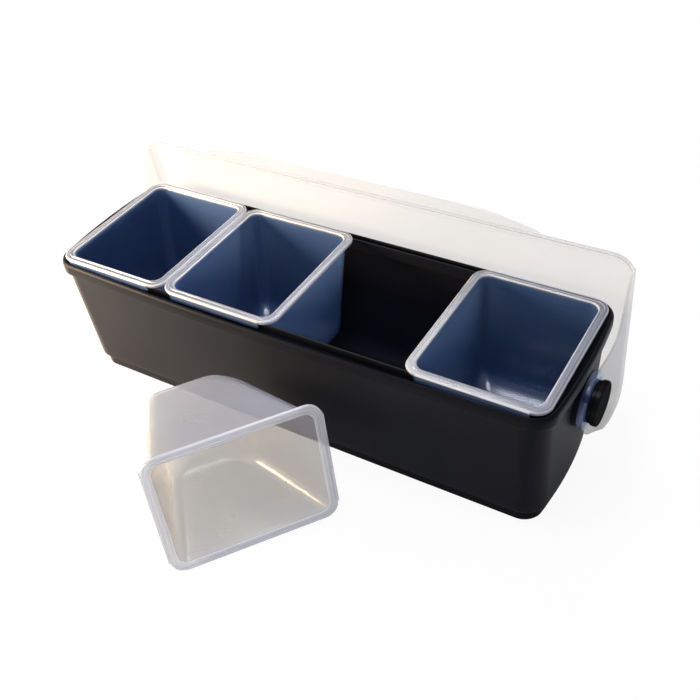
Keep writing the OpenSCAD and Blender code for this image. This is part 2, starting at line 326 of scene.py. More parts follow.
def moulded_black(name, colour, rough, gloss, grain_mm, grain_depth):
    """Black moulded plastic: a fine grain spreads its gloss and keeps it low."""
    material, tree = new_material(name)
    wear = noise(tree, WEAR_MM, WEAR_DETAIL)
    tone = add_node(
        tree,
        "ShaderNodeMix",
        {
            "Factor": wear,
            "A": (*[c * (1 - TONE_CHANGE) for c in colour], 1),
            "B": (*[c * (1 + TONE_CHANGE) for c in colour], 1),
        },
        data_type="RGBA",
    )
    # moulding grain is too fine to show, so it is drawn about a millimetre coarse
    bump = add_node(
        tree,
        "ShaderNodeBump",
        {
            "Height": noise(tree, grain_mm, GRAIN_DETAIL),
            "Strength": 0.35,
            "Distance": grain_depth * MM,
        },
    )
    body = add_node(
        tree,
        "ShaderNodeBsdfPrincipled",
        {
            "Base Color": tone.outputs["Result"],
            "Roughness": 0.6,
            "Specular IOR Level": 0.0,
            "Normal": bump.outputs["Normal"],
        },
    )
    low, high = [rough + change for change in GLOSS_SPREAD]
    sheen = add_node(
        tree,
        "ShaderNodeBsdfGlossy",
        {"Roughness": spread(tree, wear, low, high), "Normal": bump.outputs["Normal"]},
    )
    share = slanted(tree, SHEEN_STEEP, *gloss)
    surface = mixed(tree, share, body.outputs["BSDF"], sheen.outputs["BSDF"])
    add_node(tree, "ShaderNodeOutputMaterial", {"Surface": surface})
    return material


def natural_plastic(name, body, through, haze, edge_haze, rough, forward):
    """Unfilled polypropylene: each face passes most light and scatters the rest."""
    material, tree = new_material(name)
    milk = slanted(tree, MILK_STEEP, haze, edge_haze)
    cloud = spread(tree, noise(tree, FLOW_MM, FLOW_DETAIL), *CLOUD)
    share = add_node(
        tree,
        "ShaderNodeMath",
        {0: milk, 1: cloud},
        operation="MULTIPLY",
        use_clamp=True,
    )
    surface = add_node(
        tree,
        "ShaderNodeBsdfPrincipled",
        {"Base Color": (*body, 1), "Roughness": rough, "Specular IOR Level": 0.3},
    )
    glow = add_node(tree, "ShaderNodeBsdfTranslucent", {"Color": (*body, 1)})
    solid = mixed(tree, forward, surface.outputs["BSDF"], glow.outputs["BSDF"])
    clear = add_node(tree, "ShaderNodeBsdfTransparent", {"Color": (*through, 1)})
    hazy = mixed(tree, share.outputs["Value"], clear.outputs["BSDF"], solid)
    mirror = add_node(tree, "ShaderNodeBsdfGlossy", {"Roughness": rough})
    gleam = slanted(tree, GLEAM_STEEP, *GLEAM)
    coated = mixed(tree, gleam, hazy, mirror.outputs["BSDF"])
    add_node(tree, "ShaderNodeOutputMaterial", {"Surface": coated})
    return material


def turned_metal(name, colour, rough):
    """Bar stock turned on a lathe: fine rings round the axis spread its gloss."""
    material, tree = new_material(name)
    place = add_node(tree, "ShaderNodeTexCoord")
    rings = add_node(
        tree,
        "ShaderNodeTexWave",
        {
            "Vector": place.outputs["Object"],
            "Scale": 1 / (TURNING_MM * MM),
            "Distortion": 0.5,
        },
        bands_direction="X",
    )
    bump = add_node(
        tree,
        "ShaderNodeBump",
        {
            "Height": rings.outputs["Fac"],
            "Strength": 0.3,
            "Distance": TURNING_DEPTH * MM,
        },
    )
    shader = add_node(
        tree,
        "ShaderNodeBsdfPrincipled",
        {
            "Base Color": (*colour, 1),
            "Metallic": 1.0,
            "Roughness": rough,
            "Normal": bump.outputs["Normal"],
        },
    )
    add_node(tree, "ShaderNodeOutputMaterial", {"Surface": shader.outputs["BSDF"]})
    return material


# ---------- sizes and colours ----------


class CaddySizes(bpy.types.PropertyGroup):
    """Sizes of the caddy, as in its CAD source."""

    tray_length: bpy.props.FloatProperty(
        name="Tray length", description="Over the rim", default=0.483, unit="LENGTH"
    )
    tray_depth: bpy.props.FloatProperty(
        name="Tray depth",
        description="Over the rim at its ends",
        default=0.150,
        unit="LENGTH",
    )
    tray_height: bpy.props.FloatProperty(
        name="Tray height",
        description="Rim above the counter",
        default=0.127,
        unit="LENGTH",
    )
    tray_wall: bpy.props.FloatProperty(
        name="Tray wall",
        description="Thickness of the walls",
        default=0.003,
        unit="LENGTH",
    )
    insert_wall: bpy.props.FloatProperty(
        name="Insert wall",
        description="Thickness of an insert",
        default=0.002,
        unit="LENGTH",
    )
    lid_wall: bpy.props.FloatProperty(
        name="Lid wall",
        description="Thickness of the lid",
        default=0.0026,
        unit="LENGTH",
    )
    open_angle: bpy.props.FloatProperty(
        name="Open angle",
        description="From the closed lid to the open one",
        default=math.radians(83),
        subtype="ANGLE",
    )


class CaddyColours(bpy.types.PropertyGroup):
    """Colours of the caddy's plastics."""

    tray_black: bpy.props.FloatVectorProperty(
        name="Tray",
        description="Black of the tray",
        subtype="COLOR",
        min=0,
        max=1,
        default=linear("#15171e"),
    )
    knob_black: bpy.props.FloatVectorProperty(
        name="Knobs",
        description="Black of the knobs",
        subtype="COLOR",
        min=0,
        max=1,
        default=linear("#0b0c0e"),
    )
    insert_milk: bpy.props.FloatVectorProperty(
        name="Insert",
        description="Blue that an insert scatters",
        subtype="COLOR",
        min=0,
        max=1,
        default=linear("#6087ca"),
    )
    insert_through: bpy.props.FloatVectorProperty(
        name="Through an insert",
        description="Tint of the light that passes an insert",
        subtype="COLOR",
        min=0,
        max=1,
        default=linear("#f6f3ec"),
    )
    lid_milk: bpy.props.FloatVectorProperty(
        name="Lid",
        description="Pale blue that the lid scatters",
        subtype="COLOR",
        min=0,
        max=1,
        default=linear("#cbd2e0"),
    )


# ---------- tray ----------

END_BOW, FRONT_BOW, BACK_BOW = 5.0, 5.5, 0.5
RIM_HEIGHT, RIM_CORNER = 11.0, 17.0
PLINTH_HEIGHT, PLINTH_STEP, FOOT_WIDTH = 13.0, 4.0, 4.0
CREASE_HEIGHT, FLOOR_HEIGHT, FLOOR_WALL = 66.0, 18.0, 3.0
LIP_WALL, RIDGE_WALL, CHANNEL_FLOOR = 3.0, 1.6, 3.5
CHANNEL_SIDE, CHANNEL_END = 4.05, 3.1
SEAT_GAP = 0.3
LOW_BOW, MID_BOW = 0.1, 0.6
FLOOR_BACK = 33.0
WELL_CORNER = 11.0
BODY_INSET, BODY_CORNER = 1.0, RIM_CORNER + 1
# the body's ends and front in from the rim, at the plinth, the crease and the top
END_INSETS, FRONT_INSETS = (5.5, 5.0, 4.5), (6, 3, 0)
PLINTH_BACK, CREASE_BACK_INSET = FLOOR_BACK + 14, 6
CREASE_SPAN, CREASE_DEPTH = 9, 0.75  # the soft groove along the back
FLOOR_FILLET, FILLET_STEPS = 12.0, 8
TRAY_STEPS = (12, 10, 40)
OUTER_LEVELS = (24, 40, 54, 58, 61, 64, 66, 68, 71, 74, 78, 92, 106)
INNER_LEVELS = (106, 92, 78, 74, 71, 68, 66, 64, 61, 58, 54, 46, 38)
# in from the rim's outline, and up from the rim's foot or down from its top
RIM_FOOT = ((0.8, 0), (0.2, 0.3), (0, 1), (0, 5))
RIM_TOP = ((0.1, 3.0), (0.5, 1.7), (1.0, 0.9), (1.6, 0.35), (2.0, 0.1), (2.3, 0))
# the same down the inner side, from the lip's thickness
LIP_INSIDE = ((-0.5, 0.15), (-0.1, 0.6), (0, 1.4))


class TrayForm:
    """Half sizes of the tray at each height, in millimetres."""

    def __init__(self, sizes):
        self.top = sizes.tray_height / MM
        self.wall = sizes.tray_wall / MM
        self.rim_x = sizes.tray_length / MM / 2 - END_BOW
        self.rim_y = sizes.tray_depth / MM / 2
        self.base = self.top - RIM_HEIGHT
        top_y = self.rim_y - BODY_INSET
        ends = [self.rim_x - inset for inset in END_INSETS]
        fronts = [inset - top_y for inset in FRONT_INSETS]
        # height, half length, front, back, share of the bow
        self.levels = [
            (PLINTH_HEIGHT, ends[0], fronts[0], PLINTH_BACK, LOW_BOW),
            (CREASE_HEIGHT, ends[1], fronts[1], top_y - CREASE_BACK_INSET, MID_BOW),
            (self.base + 1, ends[2], fronts[2], top_y, 1.0),
        ]
        self.well_x = self.rim_x - LIP_WALL - CHANNEL_END - RIDGE_WALL
        self.well_y = self.rim_y - LIP_WALL - CHANNEL_SIDE - RIDGE_WALL

    def body(self, z):
        """Half length, front, back and bow share of the body at a height."""
        lower, upper = self.levels[0:2] if z < CREASE_HEIGHT else self.levels[1:3]
        t = (z - lower[0]) / (upper[0] - lower[0])
        hx, front, back, bow = [a + (b - a) * t for a, b in zip(lower[1:], upper[1:])]
        near = max(0.0, 1 - abs(z - CREASE_HEIGHT) / CREASE_SPAN)
        return hx, front, back - CREASE_DEPTH * near**2, bow

    def body_ring(self, z, inset, level=None):
        """The body's plan at a height, in from its outside, put at a level."""
        hx, front, back, bow = self.body(z)
        hx, front, back = hx - inset, front + inset, back - inset
        ring = plan_ring(hx, front, back, BODY_CORNER - inset, *TRAY_STEPS)
        ring = bow_out(ring, hx, front, back, END_BOW, FRONT_BOW * bow, BACK_BOW * bow)
        return [(x, y, z if level is None else level) for x, y in ring]

    def rim_ring(self, inset, z):
        """The rim's plan, in from its outside."""
        hx, hy = self.rim_x - inset, self.rim_y - inset
        ring = plan_ring(hx, -hy, hy, RIM_CORNER - inset, *TRAY_STEPS)
        ring = bow_out(ring, hx, -hy, hy, END_BOW, FRONT_BOW, BACK_BOW)
        return [(x, y, z) for x, y in ring]

    def well_ring(self, grow, z):
        """The plan of the well inside the ridge, out from its edge."""
        hx, hy = self.well_x + grow, self.well_y + grow
        ring = plan_ring(hx, -hy, hy, WELL_CORNER + grow, *TRAY_STEPS)
        return [(x, y, z) for x, y in ring]


def tray_shell(form):
    """Rings of the tray's one skin, from the underside, round the rim, to the floor."""
    top, base, wall = form.top, form.base, form.wall
    foot = PLINTH_STEP + FOOT_WIDTH
    ceiling = FLOOR_HEIGHT - FLOOR_WALL
    channel = top - RIM_HEIGHT + CHANNEL_FLOOR
    ridge = top - SEAT_GAP
    # the hollow foot and the plinth: in from the wall above, and level
    plinth = (
        (foot + 1.5, ceiling),
        (foot, ceiling - 1.5),
        (foot, 1),
        (foot - 0.9, 0),
        (PLINTH_STEP + 0.9, 0),
        (PLINTH_STEP + 0.2, 0.3),
        (PLINTH_STEP, 1.2),
        (PLINTH_STEP, PLINTH_HEIGHT - 1),
        (PLINTH_STEP - 0.3, PLINTH_HEIGHT - 0.3),
        (PLINTH_STEP - 1, PLINTH_HEIGHT),
        (1.4, PLINTH_HEIGHT),
        (0.4, PLINTH_HEIGHT + 0.4),
    )
    # the channel's floor, the ridge round the well and the well's edge
    well = (
        (RIDGE_WALL + 0.5, channel),
        (RIDGE_WALL, channel + 0.6),
        (RIDGE_WALL, ridge - 0.4),
        (RIDGE_WALL - 0.35, ridge),
        (0.35, ridge),
        (0, ridge - 0.4),
        (0, base + 0.5),
        (0.4, base),
    )
    rings = [form.body_ring(PLINTH_HEIGHT, inset, level) for inset, level in plinth]
    for z in (PLINTH_HEIGHT + 1.4, *OUTER_LEVELS, base - 1):
        rings.append(form.body_ring(z, 0))
    rings.append(form.body_ring(base - 0.4, -0.2))
    rings += [form.rim_ring(inset, base + rise) for inset, rise in RIM_FOOT]
    rings += [form.rim_ring(inset, top - drop) for inset, drop in RIM_TOP]
    rings += [form.rim_ring(LIP_WALL + inset, top - drop) for inset, drop in LIP_INSIDE]
    rings.append(form.rim_ring(LIP_WALL, channel + 0.8))
    rings.append(form.rim_ring(LIP_WALL + 0.5, channel))
    rings += [form.well_ring(grow, level) for grow, level in well]
    rings.append(form.body_ring(base, wall + 0.5))
    for z in (base - 0.6, *INNER_LEVELS):
        rings.append(form.body_ring(z, wall))
    for i in range(FILLET_STEPS + 1):
        a = math.radians(90 * i / FILLET_STEPS)
        inset = FLOOR_FILLET * (1 - math.cos(a))
        z = FLOOR_HEIGHT + FLOOR_FILLET * (1 - math.sin(a))
        rings.append(form.body_ring(max(z, PLINTH_HEIGHT), wall + inset))
    return rings


BOSS_RADIUS, BOSS_ROOT, BOSS_FACE = 23.0, 234.1, 240.6
NUT_RADIUS, NUT_LENGTH = 5.5, 6.0
PIVOT = Vector((0, 0, 0.089))  # the lid's axis, in metres
# out from the tray's middle, and radius: the nut's pocket, the face and the side
BOSS_PROFILE = (
    (BOSS_FACE - NUT_LENGTH, 0),
    (BOSS_FACE - NUT_LENGTH, NUT_RADIUS),
    (BOSS_FACE - 0.4, NUT_RADIUS),
    (BOSS_FACE, NUT_RADIUS + 0.4),
    (BOSS_FACE, BOSS_RADIUS - 1.2),
    (BOSS_FACE - 0.35, BOSS_RADIUS - 0.35),
    (BOSS_FACE - 1.2, BOSS_RADIUS),
    (BOSS_ROOT + 1.4, BOSS_RADIUS),
    (BOSS_ROOT, BOSS_RADIUS),
    (BOSS_ROOT, 0),
)
RIB_HALF, RIB_LOW, RIB_TOP, RIB_EDGE = 2.0, 0.05, 17.5, 0.3
RIB_REACH, RIB_FRONT, RIB_BACK = 231.0, -63.5, 42.5


class CADDY_OT_tray(bpy.types.Operator):
    """Builds the black tray with its rim channel, plinth, ribs and hinge bosses"""

    bl_idname = "caddy.tray"
    bl_label = "Tray"

    def execute(self, context):
        sizes, colours = context.scene.caddy_sizes, context.scene.caddy_colours
        # ABS, injection moulded: near black, a soft broad sheen
        black = moulded_black(
            "abs_black_moulded",
            colours.tray_black,
            rough=0.38,
            gloss=(0.004, 0.36),
            grain_mm=1.1,
            grain_depth=0.12,
        )
        form = TrayForm(sizes)
        bm = bmesh.new()
        loft(bm, tray_shell(form))
        shell = finish_mesh(bm, "tray_shell")
        piece("tray_shell", shell, "tray", ["tray"], [black])

        bm = bmesh.new()
        for x, front, back in (
            (RIB_REACH, -RIB_HALF, RIB_HALF),
            (RIB_HALF, RIB_FRONT, RIB_BACK),
        ):
            outline = [(-x, front), (x, front), (x, back), (-x, back)]
            slab(bm, outline, RIB_LOW, RIB_TOP, RIB_EDGE)
        ribs = finish_mesh(bm, "tray_ribs")
        piece("tray_ribs", ribs, "tray", [], [black])

        for side, word in ((-1, "left"), (1, "right")):
            bm = bmesh.new()
            lathe(bm, [(side * along, radius) for along, radius in BOSS_PROFILE])
            boss = finish_mesh(bm, f"tray_boss_{word}")
            boss.transform(Matrix.Translation(PIVOT))
            piece(f"tray_boss_{word}", boss, "tray", [], [black])
        return {"FINISHED"}


# ---------- inserts ----------

BAY_PITCH, MIDDLE_BAY = 117.0, 2.5
OPENING_X, OPENING_Y, OPENING_CORNER = 50.7, 63.75, 9.0
INSERT_DEPTH, FLANGE_HEIGHT = 104.0, 3.0
FLANGE_X, FLANGE_Y, FLANGE_CORNER = 58.2, 70.35, 13.0
FRONT_BEND, BACK_BEND = INSERT_DEPTH * 0.72, INSERT_DEPTH * 0.87
BEND_RINGS, WALL_DEPTHS = 18, [8, 22, 40, 58]
FRONT_SLOPE, BACK_SLOPE, SIDE_DRAFT, SIDE_TUCK = 0.457, 0.171, 3.4, 9.0
FLOOR_FRONT = 0.0
TAB_LENGTH, TAB_DROP, TAB_REACH, TAB_WALL = 91.0, 7.0, 1.2, 1.8
GROOVE_INSET, GROOVE_DEPTH = 3.4, 0.6
INSERT_STEPS = (12, 6, 8)
FLANGE_TOP = 130.0
FLOOR_STEPS = (0, 0.22, 0.42, 0.54, 0.68, 0.8, 0.91, 1)
TAB_END, TAB_END_SHARE, TAB_MIDDLE = 0.4, 0.8, (-0.9, -3)
WALL, RIM, EDGE_HIGHLIGHT = 0, 1, 2
# the faces with the painted highlight: the flange's rounded edges, by depth and tilt,
# and the tabs' tops
HIGHLIGHT_EDGE_DEPTH, HIGHLIGHT_EDGE_TILT, TAB_TOP_DEPTH = 1.15, (0.12, 0.97), 1.5
RIM_DEPTH = 0.9  # how far below the flange its own plastic reaches
TAB_TOP_FROM, TAB_FROM = -0.3, 0.2  # out from the flange's edge


def bend_share(d, bend):
    """Zero above a bend, rising to one at the floor."""
    return (max(0.0, d - bend) / (INSERT_DEPTH - bend)) ** 2


def front_at(d):
    """Where an insert's front wall stands at a depth below its flange top."""
    tuck = FLOOR_FRONT + OPENING_Y - FRONT_SLOPE * INSERT_DEPTH
    return FRONT_SLOPE * d - OPENING_Y + bend_share(d, FRONT_BEND) * tuck


def half_at(d):
    """Half an insert's width at a depth below its flange top."""
    half = OPENING_X - math.tan(math.radians(SIDE_DRAFT)) * d
    return half - bend_share(d, BACK_BEND) * SIDE_TUCK


def insert_ring(d, grow, z=None):
    """The plan of an insert's wall at a depth below its flange top."""
    tuck = OPENING_Y - BACK_SLOPE * INSERT_DEPTH - FLOOR_BACK
    back = OPENING_Y - BACK_SLOPE * d - bend_share(d, BACK_BEND) * tuck
    ring = plan_ring(
        half_at(d) + grow,
        front_at(d) - grow,
        back + grow,
        OPENING_CORNER + grow,
        *INSERT_STEPS,
    )
    return [(x, y, -d if z is None else z) for x, y in ring]


def flange_ring(inset, z):
    """The plan of an insert's flange."""
    hx, hy = FLANGE_X - inset, FLANGE_Y - inset
    ring = plan_ring(hx, -hy, hy, FLANGE_CORNER - inset, *INSERT_STEPS)
    return [(x, y, z) for x, y in ring]


def insert_body(wall):
    """The skin of an insert, from under its floor, over its flange and down inside."""
    stretch = (INSERT_DEPTH + wall) / INSERT_DEPTH
    bend = INSERT_DEPTH - FRONT_BEND
    depths = WALL_DEPTHS + [
        FRONT_BEND + bend * i / BEND_RINGS for i in range(BEND_RINGS)
    ]
    last = INSERT_DEPTH - 0.45
    low = -(INSERT_DEPTH + wall)
    rings = [
        insert_ring(INSERT_DEPTH, wall - 2.2, low),
        insert_ring(INSERT_DEPTH, wall - 1.0, low + 0.12),
        insert_ring(last, wall - 0.15, low + 0.55),
    ]
    rings += [insert_ring(d, wall, -d * stretch) for d in reversed(depths)]
    rings += [
        insert_ring(FLANGE_HEIGHT, wall, -FLANGE_HEIGHT - 0.8),
        insert_ring(FLANGE_HEIGHT, wall + 0.8, -FLANGE_HEIGHT),
        flange_ring(0.5, -FLANGE_HEIGHT),
        flange_ring(0.1, -FLANGE_HEIGHT + 0.15),
        flange_ring(0, -FLANGE_HEIGHT + 0.5),
        flange_ring(0, -1.1),
        flange_ring(0.3, -0.4),
        flange_ring(1.0, 0),
        flange_ring(GROOVE_INSET - 0.4, 0),
        flange_ring(GROOVE_INSET, -GROOVE_DEPTH),
        flange_ring(GROOVE_INSET + 0.9, -GROOVE_DEPTH),
        flange_ring(GROOVE_INSET + 1.3, 0),
        insert_ring(0, 1.1, 0),
        insert_ring(0, 0.35, -0.25),
        insert_ring(1.0, 0, -1.0),
    ]
    rings += [insert_ring(d, 0) for d in depths]
    rings += [
        insert_ring(last, -0.1, -INSERT_DEPTH + 0.5),
        insert_ring(INSERT_DEPTH, -0.9, -INSERT_DEPTH + 0.1),
        insert_ring(INSERT_DEPTH, -2.0, -INSERT_DEPTH),
    ]
    bm = bmesh.new()
    loft(bm, rings)
    return finish_mesh(bm, "insert_body")


def insert_tab(side):
    """The tab that hangs from the front or the back of an insert's flange."""
    near, far = FLANGE_Y - 1.0, FLANGE_Y + TAB_REACH
    hang = far - TAB_WALL
    section = [
        (near, -FLANGE_HEIGHT + 0.1),
        (hang, -FLANGE_HEIGHT + 0.1),
        (hang, -TAB_DROP + 0.3),
        (hang + 0.3, -TAB_DROP),
        (far - 0.3, -TAB_DROP),
        (far, -TAB_DROP + 0.3),
        (far, -1.2),
        (far - 0.25, -0.75),
        (far - 0.7, -GROOVE_DEPTH),
        (near, -GROOVE_DEPTH),
    ]
    half = TAB_LENGTH / 2
    middle = Vector((far + TAB_MIDDLE[0], TAB_MIDDLE[1]))
    rings = []
    for x, share in (
        (-half, TAB_END_SHARE),
        (-half + TAB_END, 1),
        (half - TAB_END, 1),
        (half, TAB_END_SHARE),
    ):
        points = [middle + (Vector(p) - middle) * share for p in section]
        rings.append([(x, side * p.x, p.y) for p in points])
    bm = bmesh.new()
    loft(bm, rings)
    return finish_mesh(bm, "insert_tab")


def insert_mesh(wall):
    """An insert, with the middle of its opening at the origin at flange height."""
    mesh = joined([insert_body(wall), insert_tab(-1), insert_tab(1)], "insert_mesh")
    # the flange's rounded edges and the tabs' tops get the painted highlight
    for face in mesh.polygons:
        depth, tip = -face.center.z / MM, abs(face.center.y) / MM
        tilt = face.normal.z
        rounded = depth < HIGHLIGHT_EDGE_DEPTH and HIGHLIGHT_EDGE_TILT[0] < tilt < HIGHLIGHT_EDGE_TILT[1]
        tab_top = tip > FLANGE_Y + TAB_TOP_FROM and depth < TAB_TOP_DEPTH
        if rounded or (tab_top and tilt > HIGHLIGHT_EDGE_TILT[0]):
            face.material_index = EDGE_HIGHLIGHT
        elif tip <= FLANGE_Y + TAB_FROM and depth < FLANGE_HEIGHT + RIM_DEPTH:
            face.material_index = RIM
        else:
            face.material_index = WALL
    return mesh


LOOSE_X, LOOSE_ROOM, LOOSE_TURN = 40.0, 26.0, 53.0
COUNTER_GAP = 0.1


def loose_place(wall, tray_front):
    """Where the loose insert lies: on its side, on its flange and its body."""
    stretch = (INSERT_DEPTH + wall) / INSERT_DEPTH
    tilt = math.radians(90)
    for share in FLOOR_STEPS:
        depth = FRONT_BEND + (INSERT_DEPTH - FRONT_BEND) * share
        rise = (FLANGE_X - half_at(depth) - wall) / (depth * stretch - FLANGE_HEIGHT)
        tilt = min(tilt, math.atan(rise))
    turn = math.radians(LOOSE_TURN)
    reach = max(
        math.cos(turn) * d + math.sin(turn) * (wall - front_at(d))
        for d in range(int(INSERT_DEPTH) + 1)
    )
    y = tray_front - FRONT_BOW - LOOSE_ROOM - reach
    return (
        Matrix.Translation(Vector((LOOSE_X, y, COUNTER_GAP)) * MM)
        @ Matrix.Rotation(turn, 4, "Z")
        @ Matrix.Rotation(-tilt, 4, "X")
        @ Matrix.Translation(Vector((0, -FLANGE_HEIGHT, FLANGE_X)) * MM)
        @ Matrix.Rotation(math.radians(90), 4, "Z")
        @ Matrix.Rotation(math.radians(-90), 4, "Y")
    )


class CADDY_OT_inserts(bpy.types.Operator):
    """Builds the three seated inserts and the loose one in front"""

    bl_idname = "caddy.inserts"
    bl_label = "Inserts"

    def execute(self, context):
        sizes, colours = context.scene.caddy_sizes, context.scene.caddy_colours
        # polypropylene, moulded thin: see-through, and milky blue over something dark
        wall = natural_plastic(
            "polypropylene_natural_wall",
            colours.insert_milk,
            colours.insert_through,
            haze=0.28,
            edge_haze=0.5,
            rough=0.2,
            forward=0.4,
        )
        # painted light: a paler, lit copy of the same plastic for the insert out in the
        # open, which stands in for the white counter washing the blue out
        pale = natural_plastic(
            "polypropylene_natural_wall_painted_lit",
            linear("#ccd4ea"),
            linear("#eeece6"),
            haze=0.31,
            edge_haze=0.5,
            rough=0.2,
            forward=0.4,
        )
        # the same plastic in the thick flange: it scatters more, and turns greyish
        rim = natural_plastic(
            "polypropylene_natural_rim",
            linear("#cdd3e4"),
            linear("#dfe2ea"),
            haze=0.3,
            edge_haze=0.52,
            rough=0.22,
            forward=0.3,
        )
        # painted light: a paler, lit copy of the thick flange for the insert out in the
        # open, which stands in for the light that gets into it there
        pale_rim = natural_plastic(
            "polypropylene_natural_rim_painted_lit",
            linear("#e6eaf4"),
            linear("#f1f3f8"),
            haze=0.5,
            edge_haze=0.7,
            rough=0.22,
            forward=0.3,
        )
        # painted highlight: the same plastic, brighter and whiter at the rounded edges,
        # which stands in for light carried along the flange coming out there
        edge = natural_plastic(
            "polypropylene_natural_edge_painted_highlight",
            linear("#f4f6fb"),
            linear("#f2f4fa"),
            haze=0.58,
            edge_haze=0.8,
            rough=0.18,
            forward=0.2,
        )
        thickness = sizes.insert_wall / MM
        mesh = insert_mesh(thickness)
        for plastic in (wall, rim, edge):
            mesh.materials.append(plastic)
        places = {}
        for bay in (1, 2, 4):
            middle = Vector(((bay - MIDDLE_BAY) * BAY_PITCH, 0, FLANGE_TOP))
            places[f"insert_{bay}"] = Matrix.Translation(middle * MM)
        places["loose_insert"] = loose_place(thickness, -sizes.tray_depth / MM / 2)
        for name, place in places.items():
            shell = mesh.copy()
            # the loose insert takes the painted lit copies of the wall and flange
            # plastics
            if name == "loose_insert":
                shell.materials[WALL] = pale
                shell.materials[RIM] = pale_rim
            shell.transform(place)
            piece(f"{name}_shell", shell, name, [name], [])
        return {"FINISHED"}


# ---------- lid ----------

LID_SIDE_GAP, LID_FRONT, LID_SWING_GAP, LID_FOOT_GAP = 1.4, 73.5, 5.4, 7.0
BORDER_WIDTH, BORDER_DROP, BORDER_LIP = 8.0, 5.5, 2.0
LID_CORNER = 19.0
GRIP_REACH, GRIP_INSET, GRIP_TAPER = 14.0, 67.5, 66.0
GRIP_CORNER, GRIP_STEPS = 22, 8
PLATE_EDGE = 0.4
EAR_FRONT, EAR_STEP = 9.0, 0.25
EAR_CORNER, EAR_STEPS = 9, 5
HUB_RADIUS, HUB_THICKNESS = 24.0, 4.8
HUB_GLOW = 20.0  # radius within which a hub scatters blue
HUB_PROUD, HUB_MARGIN, HUB_ZONE = 0.2, 0.2, 6
TURN_RADIUS = 3.05  # of the hub's bore, round the stud
CLEAR, HUB, HUB_SHADE = 0, 1, 2
# an ear's outline: back from the lid's front and down, back from the ear's front and
# down, shares of the hub's radius about the pivot, and in from the lid's back and down
EAR_FRONT_STEPS = [(9, 0), (9, 5), (16, 9), (34, 15)]
EAR_ARM_STEPS = [(13, 21), (5, 27), (2, 36), (4, 50)]
EAR_HUB_SHARES = [
    (-0.8, 0.6),
    (-0.5, 0),
    (0.3, -0.92),
    (1.35, -0.4),
    (2.2, 0.46),
    (3.5, 1.7),
]
EAR_REAR_STEPS = [(1, 28.5), (0, 20.5), (0, 8), (9, 0)]
LID_STEPS = (12, 4, 8)


class LidForm:
    """Levels of the closed lid about its pivot, in millimetres."""

    def __init__(self, sizes):
        self.wall = sizes.lid_wall / MM
        self.half = sizes.tray_length / MM / 2 + LID_SIDE_GAP + self.wall
        pivot = PIVOT.z / MM
        swing = math.hypot(
            sizes.tray_height / MM - pivot, sizes.tray_depth / MM / 2 + BACK_BOW
        )
        self.rise = swing + LID_SWING_GAP
        self.low = self.rise - BORDER_DROP
        angle = sizes.open_angle
        foot = pivot + self.low * math.cos(angle) - LID_FOOT_GAP
        self.back = foot / math.sin(angle)
        self.place = Matrix.Translation(PIVOT) @ Matrix.Rotation(-angle, 4, "X")

    def ring(self, inset, z):
        """The lid's plan, in from its outside."""
        hx = self.half - inset
        front, back = -LID_FRONT + inset, self.back - inset
        ring = plan_ring(hx, front, back, LID_CORNER - inset, *LID_STEPS)
        return [(x, y, z) for x, y in ring]


def lid_cap(form):
    """The panel with its sloped border, as one closed skin."""
    wall, low, rise = form.wall, form.low, form.rise
    lip = low + BORDER_LIP
    slope = BORDER_WIDTH
    # in from the outside, and level: from the inner face, round the lip, to the top
    profile = (
        (slope + wall + 2.0, rise),
        (slope + wall + 0.5, rise - 0.08),
        (slope + wall - 1.0, rise - 0.75),
        (wall + 1.0, lip + 0.9),
        (wall + 0.2, lip - 0.1),
        (wall, lip - 1.0),
        (wall, low + 0.5),
        (wall - 0.5, low),
        (0.5, low),
        (0, low + 0.5),
        (0, lip - 0.4),
        (0.25, lip + 0.5),
        (1.2, lip + 1.5),
        (slope - 1.5, rise + wall - 1.0),
        (slope, rise + wall - 0.15),
        (slope + 1.8, rise + wall),
    )
    bm = bmesh.new()
    loft(bm, [form.ring(inset, level) for inset, level in profile])
    return finish_mesh(bm, "lid_cap")


def lid_grip(form):
    """The finger lip along the front edge."""
    root = form.wall * 0.5 - LID_FRONT
    wide = form.half - GRIP_INSET
    tip = wide - GRIP_TAPER
    far = -LID_FRONT - GRIP_REACH
    outline = [(wide, root), (-wide, root), (-wide, -LID_FRONT), (-tip, far)]
    outline += [(tip, far), (wide, -LID_FRONT)]
    rounded = soften(outline[2:], GRIP_CORNER, GRIP_STEPS)
    bm = bmesh.new()
    low = form.low + EAR_STEP
    slab(bm, outline[:2] + rounded, low, low + form.wall, PLATE_EDGE)
    return finish_mesh(bm, "lid_grip")


